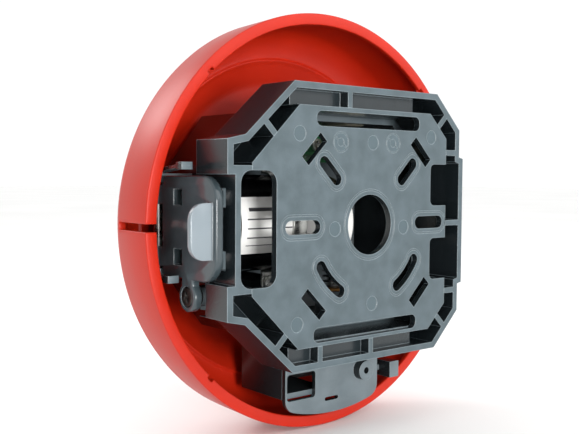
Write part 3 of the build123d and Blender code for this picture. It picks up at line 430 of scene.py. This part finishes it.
def surface(
    name,
    low,
    high,
    patch,
    grain,
    height,
    rough,
    stretch=(1, 1, 1),
    edge=None,
    edge_highlight=0.4,
    mark=None,
    polish_and_painted_shade=None,
    **constants,
):
    """A finish: tints in patches, a grain with its size and height in mm, and a roughness range."""
    material = bpy.data.materials.new(name)
    material.use_nodes = True
    tree = material.node_tree
    tree.nodes.clear()
    place = add_node(tree, "ShaderNodeTexCoord").outputs["Object"]
    patches = add_node(
        tree, "ShaderNodeTexNoise", {"Vector": place, "Scale": 1 / (patch * MM), "Detail": 5.0}
    )
    spread = {"Value": patches.outputs["Fac"], "From Min": 0.36, "From Max": 0.64}
    share = add_node(tree, "ShaderNodeMapRange", spread).outputs["Result"]
    tint = add_node(
        tree, "ShaderNodeMix", {0: share, 6: colour(low), 7: colour(high)}, data_type="RGBA"
    ).outputs[2]
    drawn_out = {"Vector": place, "Scale": stretch}
    stretched = add_node(tree, "ShaderNodeMapping", drawn_out).outputs["Vector"]
    grains = add_node(
        tree, "ShaderNodeTexNoise", {"Vector": stretched, "Scale": 1 / (grain * MM), "Detail": 3.0}
    ).outputs["Fac"]
    shine = dict(spread, **{"To Min": rough[0], "To Max": rough[1]})
    roughness = add_node(tree, "ShaderNodeMapRange", shine).outputs["Result"]
    relief = {"Height": grains, "Distance": height * MM}
    if mark:
        tint = mark(tree, place, tint)
    # polish_and_painted_shade gives faces that turn away from the wall side a lower roughness, for the
    # polished walls, and paints them darker, a painted shade on the sides. A third value also paints
    # the moulding darker from 0.5 mm deep on, a painted shade in the channels and recesses.
    if polish_and_painted_shade:
        facing = add_node(tree, "ShaderNodeTexCoord").outputs["Normal"]
        square = add_node(tree, "ShaderNodeSeparateXYZ", {"Vector": facing}).outputs["Y"]
        span = {"Value": square, "From Min": 0.8, "From Max": 0.4}
        share = add_node(tree, "ShaderNodeMapRange", span).outputs["Result"]
        if len(polish_and_painted_shade) > 2:
            deep = add_node(tree, "ShaderNodeSeparateXYZ", {"Vector": place}).outputs["Y"]
            span = {"Value": deep, "From Min": -0.5 * MM, "From Max": -polish_and_painted_shade[2] * MM, "To Max": 0.88}
            recess_shade = add_node(tree, "ShaderNodeMapRange", span).outputs["Result"]
            either = {0: share, 1: recess_shade}
            share = add_node(tree, "ShaderNodeMath", either, operation="MAXIMUM").outputs[0]
        polished_and_shaded = {0: share, 6: tint, 7: colour(polish_and_painted_shade[0])}
        tint = add_node(tree, "ShaderNodeMix", polished_and_shaded, data_type="RGBA").outputs[2]
        roughness = add_node(
            tree, "ShaderNodeMix", {0: share, 2: roughness, 3: polish_and_painted_shade[1]}, data_type="FLOAT"
        ).outputs[0]
    # edge paints a paler colour where the normal rounded over a small radius leaves the true one: a
    # painted highlight along the edges. The rounded normal also rounds the shading of the edges.
    if edge:
        bevel = add_node(tree, "ShaderNodeBevel", {"Radius": edge[1] * MM}, samples=6)
        rounded = bevel.outputs["Normal"]
        relief["Normal"] = rounded
        true = add_node(tree, "ShaderNodeNewGeometry").outputs["Normal"]
        along = add_node(tree, "ShaderNodeVectorMath", {0: rounded, 1: true}, operation="DOT_PRODUCT")
        lit = add_node(
            tree,
            "ShaderNodeMapRange",
            {"Value": along.outputs["Value"], "From Min": 0.97, "From Max": 0.8, "To Max": edge_highlight},
        ).outputs["Result"]
        caught = {0: lit, 6: tint, 7: colour(edge[0])}
        tint = add_node(tree, "ShaderNodeMix", caught, data_type="RGBA").outputs[2]
    bump = add_node(tree, "ShaderNodeBump", relief).outputs["Normal"]
    shader = add_node(
        tree,
        "ShaderNodeBsdfPrincipled",
        {"Base Color": tint, "Roughness": roughness, "Normal": bump, **constants},
    )
    add_node(tree, "ShaderNodeOutputMaterial", {"Surface": shader.outputs["BSDF"]})
    return material


# %% [markdown]
# ### Mouldings
#
# The box and the chassis are a filled ABS in blue-grey. The mould's wall side was spark-eroded, which
# leaves a fine matt grain on that face. The real grain is about 0.1 mm across, too fine to see at this
# size, so it is drawn at 0.5 mm. Further in, the mould was polished, so the channels and the sides are
# glossy and pick up the red of the gong; their colour is also painted darker, a painted shade, which
# leaves the wall face the palest. The latch is the same plastic from a polished mould, with its thumb
# tab painted paler, a painted highlight. The paler edges on all of them are a painted highlight too.

# %% Plastics
ejector_discs = [
    (31.7, 30.3),
    (-1.2, 28.2),
    (-31.1, 31),
    (16.2, -1),
    (-16.8, -1.4),
    (32.4, -31.5),
    (-1.4, -27.5),
]
dial_discs = [(13.9, 28), (-11, 28.3)]
ejector_radius = 2.5
dial_radius = 3.4


def ejector_marks(tree, place, tint):
    """Smoother, slightly darker discs where the ejector pins and the two mould dials pressed."""
    split = add_node(tree, "ShaderNodeSeparateXYZ", {"Vector": place})
    across_plate = {"X": split.outputs["X"], "Y": split.outputs["Z"]}
    flat = add_node(tree, "ShaderNodeCombineXYZ", across_plate).outputs[0]
    for x, z in ejector_discs + dial_discs:
        radius = dial_radius if (x, z) in dial_discs else ejector_radius
        away = add_node(
            tree, "ShaderNodeVectorMath", {0: flat, 1: (x * MM, z * MM, 0)}, operation="DISTANCE"
        ).outputs["Value"]
        within = {0: away, 1: radius * MM}
        inside = add_node(tree, "ShaderNodeMath", within, operation="LESS_THAN").outputs[0]
        pressed = {0: inside, 6: tint, 7: colour("#415056")}
        tint = add_node(tree, "ShaderNodeMix", pressed, data_type="RGBA").outputs[2]
    return tint


# In each finish, edge holds the colour of a painted highlight along the edges and the radius it spreads
# over in mm.
finishes = {
    "grey_moulding": surface(
        "Spark-textured ABS",
        "#3C494E",
        "#47545A",
        6,
        0.5,
        0.035,
        (0.36, 0.48),
        edge=("#98A6AC", 0.5),
        edge_highlight=0.65,
        mark=ejector_marks,
        # Sides and recesses painted darker, a painted shade, and polished glossier.
        polish_and_painted_shade=("#1B2124", 0.2, 3.5),
        IOR=1.53,
    ),
    "black_moulding": surface(
        "Phenolic moulding", "#121314", "#1D1F20", 5, 0.4, 0.01, (0.35, 0.5),
        edge=("#4A4C4E", 0.25), IOR=1.6,
    ),
    "cream_moulding": surface(
        "Natural polyamide", "#D9D2B4", "#E8E2C8", 4, 0.4, 0.01, (0.35, 0.45),
        edge=("#F4F0DE", 0.25), IOR=1.53,
    ),
    "acetal": surface(
        "Acetal", "#D8D6CC", "#E6E4DC", 5, 0.6, 0.005, (0.25, 0.35), edge=("#F6F5F0", 0.25), IOR=1.48
    ),
    "washer_fibre": surface("Black fibre", "#151515", "#232221", 3, 0.3, 0.03, (0.6, 0.8), IOR=1.5),
    "capacitor_sleeve": surface(
        "Shrunk PVC sleeve", "#0C1220", "#151D30", 6, 0.8, 0.01, (0.2, 0.3), IOR=1.54
    ),
    "red_insulation": surface(
        "Red PVC insulation", "#8E1410", "#A31A14", 4, 0.5, 0.01, (0.35, 0.5), IOR=1.53
    ),
    "black_insulation": surface(
        "Black PVC insulation", "#101010", "#1A1A1A", 4, 0.5, 0.01, (0.35, 0.5), IOR=1.53
    ),
}
thumb_tab_width = 8
thumb_tab_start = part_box("latch_arm")[1].x - thumb_tab_width * MM


def painted_light_on_thumb_tab(tree, place, tint):
    """Paints the tab outwards of the arm paler, a painted highlight where light falls on its face."""
    side = add_node(tree, "ShaderNodeSeparateXYZ", {"Vector": place}).outputs["X"]
    span = {"Value": side, "From Min": thumb_tab_start, "From Max": thumb_tab_start + MM}
    share = add_node(tree, "ShaderNodeMapRange", span).outputs["Result"]
    tab_light = {0: share, 6: tint, 7: colour("#778187")}
    return add_node(tree, "ShaderNodeMix", tab_light, data_type="RGBA").outputs[2]


# The latch's thumb tab is painted paler, a painted highlight, and its edges carry a painted highlight
# too.
latch_plastic = surface(
    "Polished ABS",
    "#30393D",
    "#3A4448",
    9,
    0.8,
    0.006,
    (0.14, 0.22),
    edge=("#C4CDD1", 0.4),
    edge_highlight=0.7,
    mark=painted_light_on_thumb_tab,
    IOR=1.53,
)
satin_plastic = surface(
    "Satin ABS",
    "#566166",
    "#606B70",
    9,
    0.5,
    0.015,
    (0.3, 0.42),
    edge=("#A9B4B8", 0.4),
    edge_highlight=0.6,
    # Sides painted darker, a painted shade, and polished glossier.
    polish_and_painted_shade=("#1D2123", 0.2),
    IOR=1.53,
)
print(len(finishes), "plastics")

# %% [markdown]
# ### Paint
#
# The gong is sprayed with a satin red enamel. A sprayed coat dries with a slight orange peel, about
# 2 mm from crest to crest, and has a soft, wide shine. The motor's can is stoved in gloss black.

# %% Enamels
# The paler edge colour of the enamel is a painted highlight.
finishes["red_enamel"] = surface(
    "Satin red enamel",
    "#AD1E08",
    "#B32008",
    18,
    2.0,
    0.01,
    (0.38, 0.42),
    edge=("#DC4A3A", 0.5),
    edge_highlight=0.3,
    IOR=1.45,
    **{"Specular IOR Level": 0.35},
)
# The paler edge colour is a painted highlight.
finishes["black_enamel"] = surface(
    "Gloss black enamel", "#050505", "#0A0A0B", 12, 1.6, 0.008, (0.1, 0.16),
    edge=("#2A2A2C", 0.3), IOR=1.5,
)
print("enamels:", finishes["red_enamel"].name, "and", finishes["black_enamel"].name)

# %% [markdown]
# ### Metals
#
# Zinc plate is bright but cloudy, drawn wire has lines along it, sintered bronze is pitted, and the
# armature is a stack of thin sheets, which shows as fine rings across its length.

# %% Metals
# The paler edge colour of the zinc plate is a painted highlight.
finishes["zinc_steel"] = surface(
    "Bright zinc plate", "#A9ABA8", "#C4C5C1", 3, 0.5, 0.006, (0.24, 0.38),
    edge=("#E4E4E0", 0.2), Metallic=1.0,
)
finishes["spring_steel"] = surface(
    "Drawn spring wire", "#77787A", "#8E8F90", 3, 0.4, 0.006, (0.25, 0.4),
    stretch=(1, 1, 8), Metallic=1.0,
)
dull_steel = surface("Dulled zinc plate", "#3C3D3D", "#555653", 2, 0.4, 0.01, (0.4, 0.55), Metallic=1.0)
finishes["bronze"] = surface(
    "Sintered bronze", "#8C6236", "#A47A48", 1.5, 0.25, 0.02, (0.4, 0.55), Metallic=1.0
)
finishes["tinned_brass"] = surface(
    "Tinned brass", "#B9B08E", "#CFC9B0", 3, 0.4, 0.006, (0.25, 0.4), Metallic=1.0
)
finishes["ferrite"] = surface(
    "Sintered ferrite", "#1B1B1D", "#28282B", 2, 0.3, 0.02, (0.6, 0.8), IOR=1.8
)
finishes["laminated_steel"] = surface(
    "Stacked electrical steel", "#4A4A4D", "#6A6A6E", 3, 1.0, 0.05, (0.4, 0.55),
    stretch=(2, 0.02, 0.02), Metallic=1.0,
)
finishes["striker_steel"] = surface(
    "Turned steel", "#8E8F90", "#A5A6A7", 3, 0.5, 0.01, (0.2, 0.32), stretch=(0.1, 0.1, 4), Metallic=1.0
)
metals = [
    finish.name
    for finish in finishes.values()
    if finish.node_tree.nodes["Principled BSDF"].inputs["Metallic"].default_value == 1
]
print("metals:", metals)


# %% [markdown]
# ### The circuit board and the label
#
# The board is glass epoxy under a green solder mask, with broad tracks that show as paler lanes. The
# label is a white film on the motor. Its print is left as blank rules: one heavy bar and four lines.


# %% Board and label
def band(tree, value, middle, half):
    """1 where value is within half of middle, else 0."""
    off = add_node(tree, "ShaderNodeMath", {0: value, 1: middle}, operation="SUBTRACT").outputs[0]
    size = add_node(tree, "ShaderNodeMath", {0: off}, operation="ABSOLUTE").outputs[0]
    return add_node(tree, "ShaderNodeMath", {0: size, 1: half}, operation="LESS_THAN").outputs[0]


def ruled(tree, place, tint):
    """Blank rules across the label, each with its own height and length."""
    split = add_node(tree, "ShaderNodeSeparateXYZ", {"Vector": place})
    for z, half_height, start, end in (
        (5.4, 0.6, 24, 40),
        (2.2, 0.22, 20, 41),
        (-0.9, 0.22, 22, 41),
        (-4.0, 0.22, 20, 41),
        (-6.6, 0.14, 26, 41),
    ):
        row = band(tree, split.outputs["Z"], z * MM, half_height * MM)
        length = band(tree, split.outputs["X"], (start + end) / 2 * MM, (end - start) / 2 * MM)
        both = add_node(tree, "ShaderNodeMath", {0: row, 1: length}, operation="MULTIPLY").outputs[0]
        inked = {0: both, 6: tint, 7: colour("#3A3A3C")}
        tint = add_node(tree, "ShaderNodeMix", inked, data_type="RGBA").outputs[2]
    return tint


track_spacing = 3.0
track_width = 1.2


def tracks(tree, place, tint):
    """Paler lanes along the board."""
    split = add_node(tree, "ShaderNodeSeparateXYZ", {"Vector": place})
    across = {0: split.outputs["Z"], 1: track_spacing * MM}
    wrap = add_node(tree, "ShaderNodeMath", across, operation="MODULO").outputs[0]
    lane = band(tree, wrap, track_spacing / 2 * MM, track_width / 2 * MM)
    copper = {0: lane, 6: tint, 7: colour("#2F7A48")}
    return add_node(tree, "ShaderNodeMix", copper, data_type="RGBA").outputs[2]


finishes["white_label"] = surface(
    "Printed polyester film", "#EFEEEA", "#F7F6F3", 8, 1.0, 0.004, (0.3, 0.38), mark=ruled, IOR=1.57
)
finishes["board_laminate"] = surface(
    "Solder-masked glass epoxy", "#14502A", "#1B5F34", 5, 0.5, 0.006, (0.25, 0.35),
    mark=tracks, IOR=1.55,
)
print("label and board finished")

# %% [markdown]
# ## Give every piece its finish
#
# The imported record says which finish each node takes, so one loop paints both the nodes that stay
# and the pieces that replace them. The latch, the chassis and the striker guard have their own
# plastics, and the lock screw, deep in the latch's ear, and the striker tip take a darker, rougher
# copy of the zinc plate.

# %% Paint everything
own_finish = {
    "latch_arm": latch_plastic,
    "striker_guard": satin_plastic,
    "chassis": satin_plastic,
    "lock_screw": dull_steel,
    "striker_tip": dull_steel,
}
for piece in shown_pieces():
    node = list(piece.get("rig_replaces", [piece.name]))[0]
    piece.data.materials.clear()
    piece.data.materials.append(own_finish.get(node, finishes[slot_of_node[node]]))

# %% [markdown]
# ## The studio
#
# The bell stands on its rim on a white sweep. Nearly all of the light comes from the white
# surroundings. A soft light stands beside the camera, a larger one, from above, opens up the inside
# of the gong, and a small one in front of the bell draws a pale sheen along the drum.

# %% Floor, surroundings and lights
bpy.ops.object.select_all(action="DESELECT")
floor_gap = 0.3 * MM
bpy.ops.mesh.primitive_plane_add(size=12, location=(0, 0, cad_box[0][2] - floor_gap))
floor = bpy.context.active_object
floor.name = "floor"
paper = surface("White paper sweep", "#F6F6F5", "#FAFAF9", 300, 2, 0.01, (0.7, 0.8), IOR=1.4)
floor.data.materials.append(paper)

surroundings_strength = 1.05
world = bpy.data.worlds.new("white surroundings")
world.use_nodes = True
world.node_tree.nodes["Background"].inputs["Color"].default_value = (1, 1, 1, 1)
world.node_tree.nodes["Background"].inputs["Strength"].default_value = surroundings_strength
bpy.context.scene.world = world
bpy.context.scene.view_settings.view_transform = "Standard"


def soft_light(name, place, aim, size, watts):
    """A square light of that size in metres, aimed at a point."""
    bpy.ops.object.light_add(type="AREA", location=place)
    light = bpy.context.active_object
    light.name = name
    light.data.size = size
    light.data.energy = watts
    light.rotation_euler = (Vector(place) - Vector(aim)).to_track_quat("Z", "Y").to_euler()
    return light


soft_light("light beside the camera", (0.2, 0.85, -0.02), (0, -0.03, 0), 0.3, 10)
soft_light("light across the plate", (-0.5, 0.65, 0.5), (0, -0.02, 0), 0.7, 2)
soft_light("light along the gong", (0.3, -0.85, 0.55), (0.05, -0.03, 0), 0.35, 3)
print("studio ready")
